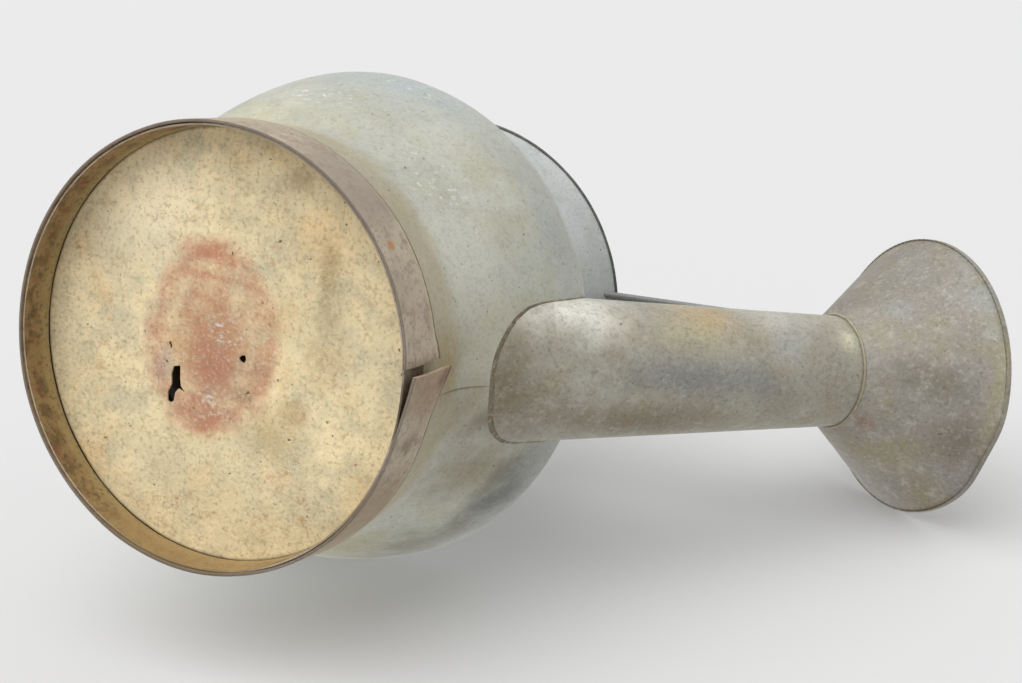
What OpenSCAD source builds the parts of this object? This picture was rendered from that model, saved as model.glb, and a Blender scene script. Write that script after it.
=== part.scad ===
// Tinsmith's watering can: bulged sheet body on an iron foot hoop, flared collar with a wired rim,
// crescent hood, wide tapered spout with a large rose, a stay and a tubular carrying handle.
// Millimetres. Z is the can's own axis, the hoop stands on z = 0, and the spout points along +X.

/* [Sheet] */
// Thickness of the sheet metal
sheet_t = 0.8; // [0.5:0.1:1.2]
// Clearance in a soldered joint
solder_gap = 0.15; // [0.05:0.05:0.3]

/* [Foot hoop] */
// Outer radius at the lower edge of the hoop
foot_r = 100; // [80:1:125]
// Width of the hoop iron
hoop_h = 26; // [20:1:40]
// Thickness of the hoop iron
hoop_t = 1.4; // [1:0.1:2.5]
// How much wider the hoop is at its upper edge
hoop_flare = 1.3; // [0:0.1:3]
// Azimuth where the sprung end of the hoop leaves the circle
spring_start = 11.2; // [5:0.1:30]
// Angle over which the sprung end stands straight off
spring_angle = 17.7; // [5:0.1:25]
// Gap left between the two torn ends, in degrees
torn_gap = 1.5; // [0.5:0.1:5]

/* [Bottom] */
// Height of the underside of the bottom above the ground
bottom_z = 18.3; // [10:0.1:24]
// Height of the turned-up flange of the bottom
bottom_flange = 6; // [3:0.5:12]
// Height of the body's lower edge above the ground
body_base_z = 17.3; // [8:0.1:20]

/* [Body] */
// Clearance between the hoop and the body's lower edge
hoop_slack = 0.165; // [0.05:0.005:0.4]
// Radius of the hollow curve above the skirt
hollow_r = 40; // [20:1:60]
// Radius of curvature of the swelling side
side_r = 200; // [150:5:320]
// Outward lean of the side where it meets the shoulder, in degrees
side_lean = 8.3; // [4:0.1:12]
// Largest radius of the body
belly_r = 126.9; // [115:0.1:140]
// Height of the widest line
belly_z = 138.6; // [125:0.1:155]

/* [Shoulder] */
// Radius of the turn from side to shoulder
turn_r = 18; // [10:1:24]
// Slope of the shoulder, in degrees from the upright
shoulder_slope = 45; // [35:1:55]
// Radius of the hollow curve under the neck
neck_fillet = 12; // [6:1:16]
// Outer radius of the neck
neck_r = 95; // [85:0.5:102]
// Height of the upright part of the neck
neck_h = 7; // [4:0.5:12]
// Depth of the shoulder's lap inside the body
lap_h = 5; // [3:0.5:8]

/* [Collar] */
// Height of the collar sheet above the neck
collar_h = 58.5; // [40:0.5:75]
// Radius of curvature of the flaring collar
flare_r = 200; // [150:5:320]
// Radius of the wire in the rim
wire_r = 2; // [1.5:0.1:3]

/* [Hood] */
// How far the hood lies below the top of the collar sheet
hood_drop = 5.4; // [3.5:0.1:10]
// Radius of the crescent edge
hood_cut_r = 120; // [100:1:160]
// How far the crescent edge stands in front of the can's axis
hood_edge_x = 15; // [0:1:30]
// Height of the hood's turned edges
hood_lip = 4; // [2:0.5:6]

/* [Spout] */
// Distance of the spout's end from the can's axis
spout_end_x = 229.4; // [200:1:260]
// How far the middle of the spout's end lies below the top of the collar sheet
spout_drop = 3.5; // [-16:0.1:22]
// Sideways shift of the spout's root
spout_shift = -1.4; // [-3:0.1:3]
// Rise of the spout above the level, in degrees
spout_rise = 46; // [42:0.5:50]
// Sideways lean of the bent spout, in degrees
spout_yaw = -3.8; // [-5:0.1:5]
// Outer radius at the spout's end
spout_tip_r = 29.3; // [24:0.1:32]
// Outer radius at the spout's root
spout_root_r = 37.2; // [34:0.1:40]
// Distance from the spout's end at which the root radius is measured
spout_len = 220; // [200:1:240]

/* [Rose] */
// Rise of the rose's axis above the level, in degrees
rose_rise = 45; // [40:0.5:50]
// Sideways turn of the rose's axis, in degrees
rose_yaw = -0.9; // [-3:0.1:3]
// Outer radius of the rose's rim
rose_r = 74.6; // [60:0.1:85]
// Depth of the rose from its neck to its rim
rose_h = 54.6; // [45:0.1:65]
// Length of the rose's spigot inside the spout's end
spigot_h = 7; // [4:0.5:10]
// Slack of the rose's spigot inside the spout
spigot_slack = 0.7; // [0.5:0.1:1.5]
// Height of the folded edge of the perforated face
fold_h = 4; // [3:0.5:6]
// Height of the dome of the perforated face
dome_h = 8; // [4:0.5:12]
// Radius of a water hole
hole_r = 1.1; // [0.7:0.1:1.5]
// Distance between rings of water holes
hole_pitch = 10.5; // [9:0.5:11.5]
// Number of rings of water holes
hole_rings = 6; // [3:1:6]

/* [Stay] */
// Width of the stay between collar and spout
stay_w = 51; // [20:1:54]
// How far the stay's underside lies below the top of the collar sheet
stay_drop = 4.8; // [4.4:0.1:12]
// Thickness of the stay
stay_t = 1; // [0.8:0.1:2]
// Radius of the stay's rolled edges
stay_edge_r = 1.8; // [1.2:0.1:2.2]

/* [Handle] */
// Outer radius of the handle tube
handle_r = 10; // [8:0.5:12]
// Wall of the handle tube
handle_t = 1; // [0.8:0.1:2]
// Distance of the handle's front foot from the can's axis
handle_front_x = 58; // [50:1:66]
// Radius of the handle's bend
bend_r = 128; // [122:1:134]
// Radius of the round foot plate on the hood
front_plate_r = 18; // [14:1:22]
// Thickness of the handle's foot plates
plate_t = 1; // [0.8:0.1:1.5]
// How far the middle of the back plate lies below the handle's axis where it meets the belly
back_plate_drop = 7.6; // [4:0.1:11]
// Height of the back plate
back_plate_h = 44; // [36:1:50]
// Angle that the back plate covers around the body
back_plate_angle = 26; // [20:1:34]

/* [Hidden] */
$fn = 96;
steps = 8;

function polar(a, r = 1) = [r * cos(a), r * sin(a)];
function arc(c, r, from, to, n = steps) = [for (i = [0:n]) c + polar(from + (to - from) * i / n, r)];
function flip(pts) = [for (i = [len(pts) - 1:-1:0]) pts[i]];

// The skirt stands inside the hoop
skirt_r = foot_r - hoop_t + hoop_flare * body_base_z / hoop_h - hoop_slack;

// Turn between side and shoulder, then the side's big arc and the hollow arc down to the skirt
turn_c = [belly_r - turn_r, belly_z];
side_c = turn_c - polar(-side_lean, side_r - turn_r);
hollow_angle = acos((skirt_r + hollow_r - side_c.x) / (side_r + hollow_r));
hollow_c = side_c + polar(-hollow_angle, side_r + hollow_r);

// Side of the body from its lower edge to the widest line, grown outwards by g
function side_line(g) = concat(
    [[skirt_r + g, body_base_z]],
    arc(hollow_c, hollow_r - g, 180, 180 - hollow_angle),
    arc(side_c, side_r + g, -hollow_angle + 1, -side_lean, 2 * steps),
    arc(turn_c, turn_r + g, -side_lean + 2, 0, 2));

// Shoulder from the widest line to the top of the neck, grown outwards by g
slope_end = turn_c + polar(shoulder_slope, turn_r);
neck_c = [neck_r + neck_fillet,
          slope_end.y + (slope_end.x - neck_r - neck_fillet * (1 - cos(shoulder_slope)))
          / tan(shoulder_slope) + neck_fillet * sin(shoulder_slope)];
neck_top = neck_c.y + neck_h;
collar_top = neck_top + collar_h;
function shoulder_line(g) = concat(
    arc(turn_c, turn_r + g, 2, shoulder_slope, steps),
    arc(neck_c, neck_fillet - g, 180 + shoulder_slope, 180, steps / 2),
    [[neck_r + g, neck_top]]);

// Collar: slips into the neck, flares on one arc, and rolls outwards around the rim wire
collar_r = neck_r - sheet_t - solder_gap;
collar_c = [collar_r + flare_r, neck_top];
collar_tilt = asin(collar_h / flare_r);
roll_r = wire_r + solder_gap;
roll_start = 180 - collar_tilt;
rim_c = collar_c + polar(roll_start, flare_r - roll_r);
roll_end = -110;
function collar_at(z) = collar_c.x - sqrt(pow(flare_r, 2) - pow(z - neck_top, 2));

// Frames of the spout and of the rose, both with their origin at the spout's end
spout_end = [spout_end_x, spout_shift + tan(spout_yaw) * (spout_end_x - belly_r), collar_top - spout_drop];
spout_taper = (spout_root_r - spout_tip_r) / spout_len;
spout_reach = spout_len + 16;
module at_spout() translate(spout_end) rotate([0, 90 - spout_rise, spout_yaw]) children();
module at_rose() translate(spout_end) rotate([0, 90 - rose_rise, rose_yaw]) children();

// Solid cone along the spout, grown outwards by g and run past the spout's end
spout_spare = 5;
module spout_solid(g) at_spout() translate([0, 0, -spout_reach])
    cylinder(h = spout_reach + spout_spare, r1 = spout_tip_r + spout_taper * spout_reach + g,
             r2 = spout_tip_r - spout_taper * spout_spare + g);

// Filled outline of the can up to the top of the neck, grown outwards by g
module can_solid(g) rotate_extrude()
    polygon(concat([[0, body_base_z]], side_line(g), shoulder_line(g), [[0, neck_top]]));

// Iron band around the foot; one torn end has sprung out straight
hoop_section = [[foot_r - hoop_t, 0], [foot_r, 0],
                [foot_r + hoop_flare, hoop_h], [foot_r + hoop_flare - hoop_t, hoop_h]];
module foot_hoop() color("#6f625c") rotate([0, 0, spring_start]) {
    rotate_extrude(angle = 360 - spring_angle - torn_gap) polygon(hoop_section);
    rotate([90, 0, 0]) linear_extrude(foot_r * tan(spring_angle)) polygon(hoop_section);
}

// Rust has eaten three holes through the bottom
rust_slot = [[-26.8, 30.5], [-26.3, 21.4], [-27, 15.5], [-22.3, 13.4], [-20, 19],
             [-18.5, 24], [-22.3, 24.6], [-23, 29]];
rust_pinhole = [-28.3, 5.4];
rust_hole = [10.2, 3.4];
module bottom() color("#c9b48a") difference() {
    translate([0, 0, bottom_z])
        cylinder(h = sheet_t + bottom_flange, r = skirt_r - sheet_t - solder_gap);
    translate([0, 0, bottom_z + sheet_t])
        cylinder(h = bottom_flange + 1, r = skirt_r - 2 * sheet_t - solder_gap);
    translate([0, 0, bottom_z - 1]) {
        linear_extrude(sheet_t + 2) polygon(rust_slot);
        translate(rust_pinhole) cylinder(h = sheet_t + 2, r = 1);
        translate(rust_hole) cylinder(h = sheet_t + 2, r = 1.9);
    }
}

// Lower shell of the can; the opening to the spout runs on into the shoulder
module body() color("#a3a49c") difference() {
    rotate_extrude() polygon(concat(side_line(0), flip(side_line(-sheet_t))));
    spout_solid(-sheet_t);
}

// Upper shell, lapped inside the body and drawn in to the neck
lap_r = side_c.x + sqrt(pow(side_r - sheet_t, 2) - pow(belly_z - lap_h - side_c.y, 2)) - solder_gap;
shoulder_base = belly_z + solder_gap;
module shoulder() color("#a0a29d") difference() {
    rotate_extrude() polygon(concat(
        [[lap_r, belly_z - lap_h], [lap_r, shoulder_base], [belly_r, shoulder_base]],
        shoulder_line(0), flip(shoulder_line(-sheet_t)),
        [[lap_r - sheet_t, shoulder_base + sheet_t], [lap_r - sheet_t, belly_z - lap_h]]));
    spout_solid(-sheet_t);
}

module collar() color("#a9adab") rotate_extrude() polygon(concat(
    [[collar_r, neck_top - neck_h]],
    arc(collar_c, flare_r, 180, roll_start),
    arc(rim_c, roll_r, roll_start, roll_end, 2 * steps),
    arc(rim_c, roll_r + sheet_t, roll_end, roll_start, 2 * steps),
    arc(collar_c, flare_r + sheet_t, roll_start, 180),
    [[collar_r - sheet_t, neck_top - neck_h]]));

module rim_wire() color("#5c534c") rotate_extrude() translate(rim_c) circle(wire_r, $fn = 32);

// Crescent over the front of the mouth, its rim turned down and its inner edge turned up
hood_z = collar_top - hood_drop;
hood_flange = hood_lip + 2;
hood_r = collar_at(hood_z - hood_flange) - sheet_t - 2 * solder_gap;
module hood() color("#a3a6a3") difference() {
    translate([0, 0, hood_z - hood_flange]) cylinder(h = hood_flange + hood_lip, r = hood_r);
    translate([0, 0, hood_z - hood_flange - 1]) cylinder(h = hood_flange - sheet_t + 1, r = hood_r - sheet_t);
    translate([hood_edge_x - hood_cut_r, 0, hood_z - hood_flange - 1])
        cylinder(h = hood_flange + hood_lip + 2, r = hood_cut_r);
    translate([0, 0, hood_z]) difference() {
        translate([-hood_r, -hood_r - 1, 0]) cube([3 * hood_r, 2 * hood_r + 2, hood_lip + 1]);
        translate([hood_edge_x - hood_cut_r, 0, -1]) cylinder(h = hood_lip + 3, r = hood_cut_r + sheet_t);
    }
}

module spout() color("#989589") difference() {
    spout_solid(0);
    at_spout() translate([0, 0, -spout_reach - 1])
        cylinder(h = spout_reach + spout_spare + 2, r1 = spout_tip_r + spout_taper * (spout_reach + 1) - sheet_t,
                 r2 = spout_tip_r - spout_taper * (spout_spare + 1) - sheet_t);
    at_rose() translate([-2 * spout_tip_r, -2 * spout_tip_r, -solder_gap]) cube(4 * spout_tip_r);
    can_solid(solder_gap);
}

// Rose: a spigot inside the spout's end and a cone in one piece, closed by a domed face folded over its edge
spigot_r = spout_tip_r - sheet_t - spigot_slack;
shoulder_r = spout_tip_r + sheet_t;
cone_r = rose_r - sheet_t - solder_gap;
module rose_cone() color("#8d8a7e") at_rose() rotate_extrude() polygon([
    [spigot_r - sheet_t, -spigot_h], [spigot_r, -spigot_h], [spigot_r, 0], [shoulder_r, 0],
    [cone_r, rose_h - fold_h], [cone_r, rose_h - sheet_t], [cone_r - sheet_t, rose_h - sheet_t],
    [cone_r - sheet_t, rose_h - fold_h + sheet_t / 2], [shoulder_r - sheet_t / 2, sheet_t],
    [spigot_r - sheet_t, sheet_t]]);

dome_r = (pow(rose_r, 2) + pow(dome_h, 2)) / (2 * dome_h);
module rose_face() color("#8f8c80") at_rose() difference() {
    union() {
        translate([0, 0, rose_h - fold_h]) difference() {
            cylinder(h = fold_h + sheet_t, r = rose_r);
            translate([0, 0, -1]) cylinder(h = fold_h + sheet_t + 2, r = rose_r - sheet_t);
        }
        intersection() {
            translate([0, 0, rose_h + dome_h - dome_r]) difference() {
                sphere(dome_r);
                sphere(dome_r - sheet_t);
            }
            translate([0, 0, rose_h - sheet_t + solder_gap]) cylinder(h = dome_h + 2, r = rose_r - sheet_t / 2);
        }
    }
    for (ring = [0:hole_rings], k = [0:max(6 * ring, 1) - 1])
        rotate([0, 0, 60 * k / max(ring, 1)]) translate([ring * hole_pitch, 0, rose_h - 2])
            cylinder(h = dome_h + 4, r = hole_r, $fn = 24);
}

// Flat stay with rolled edges, from under the collar's rim to the upper side of the spout
stay_z = collar_top - stay_drop;
stay_start = collar_at(stay_z) - 6;
stay_end = spout_end_x - 26;
module stay() color("#8b8c88") difference() {
    translate([collar_at(stay_z), 0, stay_z]) rotate([0, 0, spout_yaw])
        translate([stay_start - collar_at(stay_z), 0, 0]) {
            translate([0, -stay_w / 2 + stay_edge_r, 0])
                cube([stay_end - stay_start, stay_w - 2 * stay_edge_r, stay_t]);
            for (side = [-1, 1])
                translate([0, side * (stay_w / 2 - stay_edge_r), stay_t / 2]) rotate([0, 90, 0])
                    cylinder(h = stay_end - stay_start, r = stay_edge_r, $fn = 24);
        }
    rotate_extrude() polygon(concat([[0, neck_top]], arc(collar_c, flare_r - solder_gap, 180, roll_start),
                                    [[rim_c.x, rim_c.y + roll_r], [0, rim_c.y + roll_r]]));
    rotate_extrude() translate(rim_c) circle(roll_r + sheet_t + solder_gap);
    spout_solid(solder_gap);
}

// Tubular handle: one long bend from the hood, over the mouth, into the back of the body
handle_foot_z = hood_z + plate_t + 2 * solder_gap;
handle_sweep = 262;
module handle() color("#96968f") difference() {
    translate([handle_front_x - bend_r, 0, handle_foot_z]) rotate([90, 0, 0])
        rotate_extrude(angle = handle_sweep) translate([bend_r, 0]) difference() {
            circle(handle_r, $fn = 48);
            circle(handle_r - handle_t, $fn = 48);
        }
    can_solid(plate_t + 2 * solder_gap);
}

module handle_front_plate() color("#8e8e87") translate([handle_front_x, 0, hood_z + solder_gap])
    cylinder(h = plate_t, r = front_plate_r);

// Curved patch on the back of the body, under the handle's lower end
back_plate_z = handle_foot_z - back_plate_drop
    - sqrt(pow(bend_r, 2) - pow(belly_r + handle_front_x - bend_r, 2));
module handle_back_plate() color("#8e8e87") intersection() {
    difference() {
        can_solid(solder_gap + plate_t);
        can_solid(solder_gap);
    }
    rotate([0, 0, 180 - back_plate_angle / 2]) rotate_extrude(angle = back_plate_angle)
        translate([skirt_r - hollow_r, back_plate_z - back_plate_h / 2]) square([2 * belly_r, back_plate_h]);
}

foot_hoop();
bottom();
body();
shoulder();
collar();
rim_wire();
hood();
spout();
rose_cone();
rose_face();
stay();
handle();
handle_front_plate();
handle_back_plate();
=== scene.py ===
"""An old tinsmith's watering can in zinc-coated sheet, with a rusted hoop around its foot."""

import math

import bmesh
import bpy
from mathutils import Matrix, Vector


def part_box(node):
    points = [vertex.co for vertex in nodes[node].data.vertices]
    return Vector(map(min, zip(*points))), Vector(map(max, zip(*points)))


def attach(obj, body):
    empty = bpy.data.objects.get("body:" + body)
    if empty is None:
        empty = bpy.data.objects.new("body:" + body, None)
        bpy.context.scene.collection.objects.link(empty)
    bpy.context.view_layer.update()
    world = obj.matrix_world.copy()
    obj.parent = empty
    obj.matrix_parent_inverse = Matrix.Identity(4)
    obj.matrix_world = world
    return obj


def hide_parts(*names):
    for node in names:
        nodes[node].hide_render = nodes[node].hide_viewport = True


MM = 0.001

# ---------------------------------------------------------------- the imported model

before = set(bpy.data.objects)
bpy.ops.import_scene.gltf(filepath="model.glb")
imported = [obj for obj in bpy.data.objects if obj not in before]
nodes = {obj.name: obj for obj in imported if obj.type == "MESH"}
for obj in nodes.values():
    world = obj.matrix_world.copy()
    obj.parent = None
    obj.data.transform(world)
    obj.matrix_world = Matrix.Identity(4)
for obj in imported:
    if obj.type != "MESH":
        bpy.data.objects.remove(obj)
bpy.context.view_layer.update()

body_low, body_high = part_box("body")
bottom_low, bottom_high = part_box("bottom")

# Sizes in millimetres and angles in degrees, as in the model.
# Zinc sheet, and the clearance left for solder in each lapped joint
SHEET = 0.8
GAP = 0.15
# Iron hoop around the foot, and where its torn end springs off straight
HOOP_T = 1.4
HOOP_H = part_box("foot_hoop")[1].z / MM
FOOT_R = 100.0
HOOP_FLARE = 1.3
SPRING_START = 11.2
SPRING_ANGLE = 17.7
TORN_GAP = 1.5
# Bottom sheet, its turned edge's bend, and how far that edge ends off the ground
BOTTOM_Z = bottom_low.z / MM
BOTTOM_BEND = 1.6
FLANGE_LIFT = 1.2
# Body: skirt, hollow above it, swelling side, and the turn to the sloping shoulder
SKIRT_R = 99.3
HOLLOW_R = 40.0
SIDE_R = 200.0
SIDE_LEAN = 8.3
BELLY_R = body_high.y / MM
BELLY_Z = body_high.z / MM
TURN_R = 18.0
SLOPE = 45.0
# The seam's lapped end: where it lies around the body, and how high it reaches
LAP_AT = 1.0
LAP_TOP = 71.0
# The shoulder's edge inside the body: how far in and how far down
SHOULDER_IN = 1.7
SHOULDER_DOWN = 5.0
# Neck and collar, with the lip that rolls over its wired edge
NECK_FILLET = 12.0
NECK_R = 95.0
NECK_H = 7.0
FLARE_R = 200.0
LIP_ANGLE, LIP_END, LIP_R = 14.5, 50.0, 18.0
RIM_BEAD_R = 0.75
# Spout: its end, direction, radii, how far its blank and its bore reach back into the can, and
# how far the tube passes into the rose
SPOUT_END = (229.4, -8.2, 244.9)
SPOUT_RISE, SPOUT_YAW = 46.0, -3.8
SPOUT_TIP_R, SPOUT_ROOT_R, SPOUT_LEN = 29.3, 37.2, 220.0
SPOUT_THIN_GROWTH = 2.0
SPOUT_REACH, BORE_REACH, SPOUT_PAST = 236.0, 205.0, 3.0
# Solder: how far it stands out from the spout, its width, its height on the body, and the rose's bead
SOLDER_OUT, SOLDER_WALL, SOLDER_SKIN, ROSE_SOLDER_R = 0.55, 1.6, 0.65, 0.85
# Rose: direction, rim, height, the rim's fold, and the blow that it took
ROSE_RISE, ROSE_YAW = 45.0, -0.9
ROSE_R, ROSE_H, FOLD_H = 74.6, 54.6, 4.0
FOLD_SHOWN = 1.8
ROSE_BLOW = (317.0, 19.0, 235.0)
BLISTERS = ((241.6, -56.9, 262.6), (252.5, -35.3, 232.6), (262.0, -30.0, 233.0), (276.0, -44.0, 232.0))


# ---------------------------------------------------------------- modelling tools

def deselect():
    """Leaves nothing selected."""
    for item in bpy.context.selected_objects:
        item.select_set(False)


def enter(piece):
    """Opens one piece in edit mode with nothing selected in it."""
    deselect()
    bpy.context.view_layer.objects.active = piece
    piece.select_set(True)
    bpy.ops.object.mode_set(mode="EDIT")
    bpy.ops.mesh.select_all(action="DESELECT")


def leave():
    """Closes edit mode."""
    bpy.ops.object.mode_set(mode="OBJECT")


def choose(piece, rule):
    """Selects, in edit mode, the vertices of a piece whose place passes a rule."""
    mesh = bmesh.from_edit_mesh(piece.data)
    for vert in mesh.verts:
        vert.select_set(rule(vert.co))
    mesh.select_flush(True)
    bmesh.update_edit_mesh(piece.data)


def choose_nearest(piece, place):
    """Selects, in edit mode, the one vertex nearest to a place."""
    mesh = bmesh.from_edit_mesh(piece.data)
    nearest = min(mesh.verts, key=lambda vert: (vert.co - place).length_squared)
    nearest.select_set(True)
    bmesh.update_edit_mesh(piece.data)


def modified(piece, kind, **settings):
    """Adds a modifier, applies it and leaves the piece changed."""
    deselect()
    bpy.context.view_layer.objects.active = piece
    piece.select_set(True)
    modifier = piece.modifiers.new(kind.lower(), kind)
    for key, value in settings.items():
        setattr(modifier, key, value)
    bpy.ops.object.modifier_apply(modifier=modifier.name)
    return piece


def polar(angle, radius=1.0):
    """A point at an angle in degrees."""
    return Vector((radius * math.cos(math.radians(angle)), radius * math.sin(math.radians(angle))))


def arc(centre, radius, start, end, steps):
    """Points along an arc, from one angle to another."""
    return [Vector(centre) + polar(start + (end - start) * k / steps, radius) for k in range(steps + 1)]


def traced(name, profile):
    """A line of vertices in the XZ plane, one extruded from the last."""
    deselect()
    first = profile[0]
    bpy.ops.mesh.primitive_plane_add(size=MM)
    piece = bpy.context.object
    piece.name = name
    piece.data.name = name
    enter(piece)
    bpy.ops.mesh.select_all(action="SELECT")
    bpy.ops.mesh.merge(type="CENTER")
    bpy.ops.transform.translate(value=(first[0] * MM, 0, first[1] * MM))
    for last, point in zip(profile, profile[1:]):
        step = ((point[0] - last[0]) * MM, 0, (point[1] - last[1]) * MM)
        bpy.ops.mesh.extrude_region_move(TRANSFORM_OT_translate={"value": step})
    leave()
    return piece


def spun(name, profile, steps, start=0.0, sweep=360.0, closed=True):
    """A profile in millimetres turned about the Z axis."""
    piece = traced(name, profile)
    piece.rotation_euler.z = math.radians(start)
    bpy.ops.object.transform_apply(rotation=True)
    enter(piece)
    bpy.ops.mesh.select_all(action="SELECT")
    bpy.ops.mesh.spin(steps=steps, angle=math.radians(-sweep), center=(0, 0, 0), axis=(0, 0, 1))
    bpy.ops.mesh.select_all(action="SELECT")
    if closed:
        bpy.ops.mesh.remove_doubles(threshold=0.01 * MM)
    bpy.ops.mesh.normals_make_consistent(inside=False)
    leave()
    sideways = Vector((1, 1, 0))
    if sum(face.area * face.normal.dot(face.center * sideways) for face in piece.data.polygons) < 0:
        piece.data.flip_normals()
    return piece


def thick(piece, thickness, offset=-1.0):
    """Gives a surface a wall, on the inner side unless told otherwise."""
    return modified(piece, "SOLIDIFY", thickness=thickness * MM, offset=offset, use_even_offset=True)


def rippled(piece, size, depth):
    """Uneven hand-beaten surface: swells of one size, in millimetres."""
    clouds = bpy.data.textures.new("swell", "CLOUDS")
    clouds.noise_scale = size * MM
    clouds.noise_depth = 1
    return modified(piece, "DISPLACE", texture=clouds, texture_coords="LOCAL",
                    strength=depth * MM, mid_level=0.5)


def dented(piece, place, push, reach):
    """Pushes the metal around a place, smoothly out to a reach, all in millimetres."""
    enter(piece)
    choose_nearest(piece, Vector(place) * MM)
    bpy.ops.transform.translate(value=tuple(Vector(push) * MM), use_proportional_edit=True,
                                proportional_edit_falloff="SMOOTH", proportional_size=reach * MM)
    leave()
    return piece


def placed(piece, end, rise, yaw):
    """Turns a piece made along +Z to its own direction and moves it to its place."""
    turn = Matrix.Rotation(math.radians(yaw), 4, "Z") @ Matrix.Rotation(math.radians(90 - rise), 4, "Y")
    piece.matrix_world = Matrix.Translation(Vector(end) * MM) @ turn
    deselect()
    bpy.context.view_layer.objects.active = piece
    piece.select_set(True)
    bpy.ops.object.transform_apply(location=True, rotation=True, scale=True)
    return piece


def cut(piece, cutter, operation="DIFFERENCE"):
    """Takes a cutter out of a piece, or leaves only what lies inside it, and throws the cutter away."""
    modified(piece, "BOOLEAN", operation=operation, solver="EXACT", object=cutter)
    bpy.data.objects.remove(cutter)


def smooth(piece, angle=40.0):
    """Shades a piece smooth up to an angle between faces."""
    deselect()
    bpy.context.view_layer.objects.active = piece
    piece.select_set(True)
    bpy.ops.object.shade_smooth_by_angle(angle=math.radians(angle))
    return piece


def finished(piece, material, slot, *replaced):
    """Gives a piece its finish and fixes it to the can."""
    piece.data.materials.clear()
    piece.data.materials.append(material)
    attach(piece, "root")
    if replaced:
        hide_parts(*replaced)


# ---------------------------------------------------------------- profiles

TURN_C = Vector((BELLY_R - TURN_R, BELLY_Z))
SIDE_C = TURN_C - polar(-SIDE_LEAN, SIDE_R - TURN_R)
HOLLOW_ANGLE = math.degrees(math.acos((SKIRT_R + HOLLOW_R - SIDE_C.x) / (SIDE_R + HOLLOW_R)))
HOLLOW_C = SIDE_C + polar(-HOLLOW_ANGLE, SIDE_R + HOLLOW_R)
SLOPE_END = TURN_C + polar(SLOPE, TURN_R)
NECK_C = Vector((NECK_R + NECK_FILLET,
                 SLOPE_END.y + (SLOPE_END.x - NECK_R - NECK_FILLET * (1 - math.cos(math.radians(SLOPE))))
                 / math.tan(math.radians(SLOPE)) + NECK_FILLET * math.sin(math.radians(SLOPE))))
NECK_TOP = NECK_C.y + NECK_H


def side_profile():
    """Outside of the body, from its lower edge to the widest line."""
    base = body_low.z / MM
    skirt = [Vector((SKIRT_R, base + (HOLLOW_C.y - base) * k / 6)) for k in range(6)]
    return (skirt + arc(HOLLOW_C, HOLLOW_R, 180, 180 - HOLLOW_ANGLE, 8)
            + arc(SIDE_C, SIDE_R, -HOLLOW_ANGLE + 1, -SIDE_LEAN, 20)
            + arc(TURN_C, TURN_R, -SIDE_LEAN + 2, 0, 2))


def shoulder_profile():
    """Outside of the shoulder, from the widest line to the top of the neck."""
    return (arc(TURN_C, TURN_R, 1, SLOPE, 10) + arc(NECK_C, NECK_FILLET, 180 + SLOPE, 180, 8)
            + [Vector((NECK_R, NECK_TOP))])


# ---------------------------------------------------------------- pieces

def make_foot_band():
    """Iron hoop, torn at its joint: the free end has sprung out straight."""
    rows = 7
    section = [(FOOT_R + HOOP_FLARE * k / rows, HOOP_H * k / rows) for k in range(rows + 1)]
    band = spun("foot_band", section, 220, SPRING_START, 360 - SPRING_ANGLE - TORN_GAP, closed=False)
    reach = FOOT_R * math.tan(math.radians(SPRING_ANGLE))
    pieces = 8
    along = Vector((math.sin(math.radians(SPRING_START)), -math.cos(math.radians(SPRING_START)), 0))
    enter(band)
    flat = polar(SPRING_START)
    choose(band, lambda co: abs(co.x * flat.y - co.y * flat.x) < 0.1 * MM and co.x > 0)
    for _ in range(pieces):
        bpy.ops.mesh.extrude_region_move(TRANSFORM_OT_translate={"value": tuple(along * reach / pieces * MM)})
    bpy.ops.mesh.select_all(action="SELECT")
    bpy.ops.mesh.normals_make_consistent(inside=False)
    leave()
    rippled(band, 45, 0.7)
    free_end = polar(SPRING_START, FOOT_R).to_3d() + along * reach
    dented(band, free_end + Vector((0, 0, HOOP_H)), (1.5, -2.4, 0.8), 20)
    dented(band, free_end, (-0.6, 0.4, 0), 12)
    dented(band, (34.5, -95.4, HOOP_H), (0.2, -0.8, -0.9), 3)
    thick(band, HOOP_T)
    modified(band, "BEVEL", width=0.3 * MM, segments=2, limit_method="ANGLE", angle_limit=math.radians(50))
    return smooth(band)


def make_bottom_plate():
    """Bottom sheet with its turned-up flange and three holes that rust has eaten."""
    edge = bottom_high.x / MM
    corner = BOTTOM_BEND
    face = [Vector((edge * k / 36, BOTTOM_Z)) for k in range(36)]
    turn = arc((edge - corner, BOTTOM_Z + corner), corner, -90, 0, 4)
    profile = face + turn + [Vector((edge, bottom_high.z / MM))]
    plate = spun("bottom_plate", profile, 160)
    rippled(plate, 60, 1.0)
    rippled(plate, 9, 0.25)
    thick(plate, SHEET)
    slot = [(-26.9, 31.2), (-27.3, 27), (-25.7, 23), (-26.4, 18.5), (-25.6, 14.6), (-22, 13.6), (-21.3, 19.5),
            (-20.6, 22.8), (-18, 25.4), (-21.7, 24.4), (-23.2, 26.5), (-23.6, 30.6), (-25.4, 31.8)]
    for name, outline in (
        ("slot_cutter", slot),
        ("pinhole_cutter", [(-29.3, 4.2), (-28.4, 3.6), (-27.2, 6.2), (-28, 7)]),
        ("hole_cutter", [Vector((10.2, 3.4)) + polar(60 * k, 2.1 if k % 2 else 1.7) for k in range(6)]),
    ):
        cut(plate, ragged_prism(name, outline, BOTTOM_Z - 4, 9))
    return smooth(plate)


def make_bottom_flange():
    """Edge of the bottom sheet, turned down inside the hoop nearly to the ground."""
    edge = FOOT_R - HOOP_T - 2 * GAP
    drop = BOTTOM_Z - SHEET - FLANGE_LIFT
    profile = [Vector((edge, FLANGE_LIFT + drop * k / 6)) for k in range(7)]
    flange = spun("bottom_flange", profile, 200)
    rippled(flange, 25, 0.25)
    return smooth(thick(flange, SHEET))


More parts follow.
